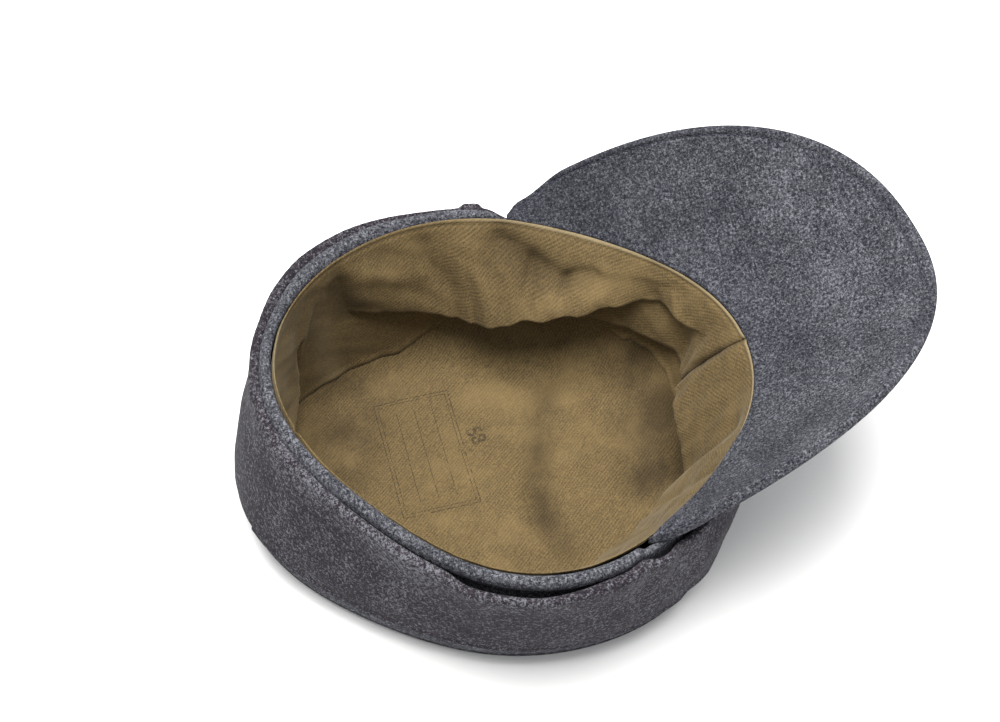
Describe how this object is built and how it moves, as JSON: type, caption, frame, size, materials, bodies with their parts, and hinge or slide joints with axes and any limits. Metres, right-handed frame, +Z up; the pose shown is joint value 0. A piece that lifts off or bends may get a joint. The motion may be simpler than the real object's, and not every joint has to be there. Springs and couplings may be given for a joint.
{
  "type": "peaked wool field cap",
  "caption": "Soft peaked field cap of felted wool with a turn-up flap and a twill lining, lying upside down on its crown, open to the head cavity.",
  "frame": {"origin": "on the surface that the crown rests on, under the middle of the rim's opening", "axes": "+Z up out of the head cavity, -Y toward the peak, +X toward the wearer's right as the cap lies upside down"},
  "size_m": [0.2033, 0.2839, 0.114],
  "materials": {
    "felted_wool": "felted melange wool, matt, blue-grey",
    "peak_wool": "stiffened felted melange wool, matt, blue-grey",
    "lining_twill": "cotton twill, matt, olive brown",
    "button": "dull dark grey"
  },
  "bodies": {
    "root": {"crown_top": "felted_wool", "crown_side_right": "felted_wool", "crown_side_left": "felted_wool", "flap_right": "felted_wool", "flap_left": "felted_wool", "peak": "peak_wool", "lining_top": "lining_twill", "lining_side_right": "lining_twill", "lining_side_left": "lining_twill", "flap_button_upper": "button", "flap_button_lower": "button"}
  },
  "joints": []
}
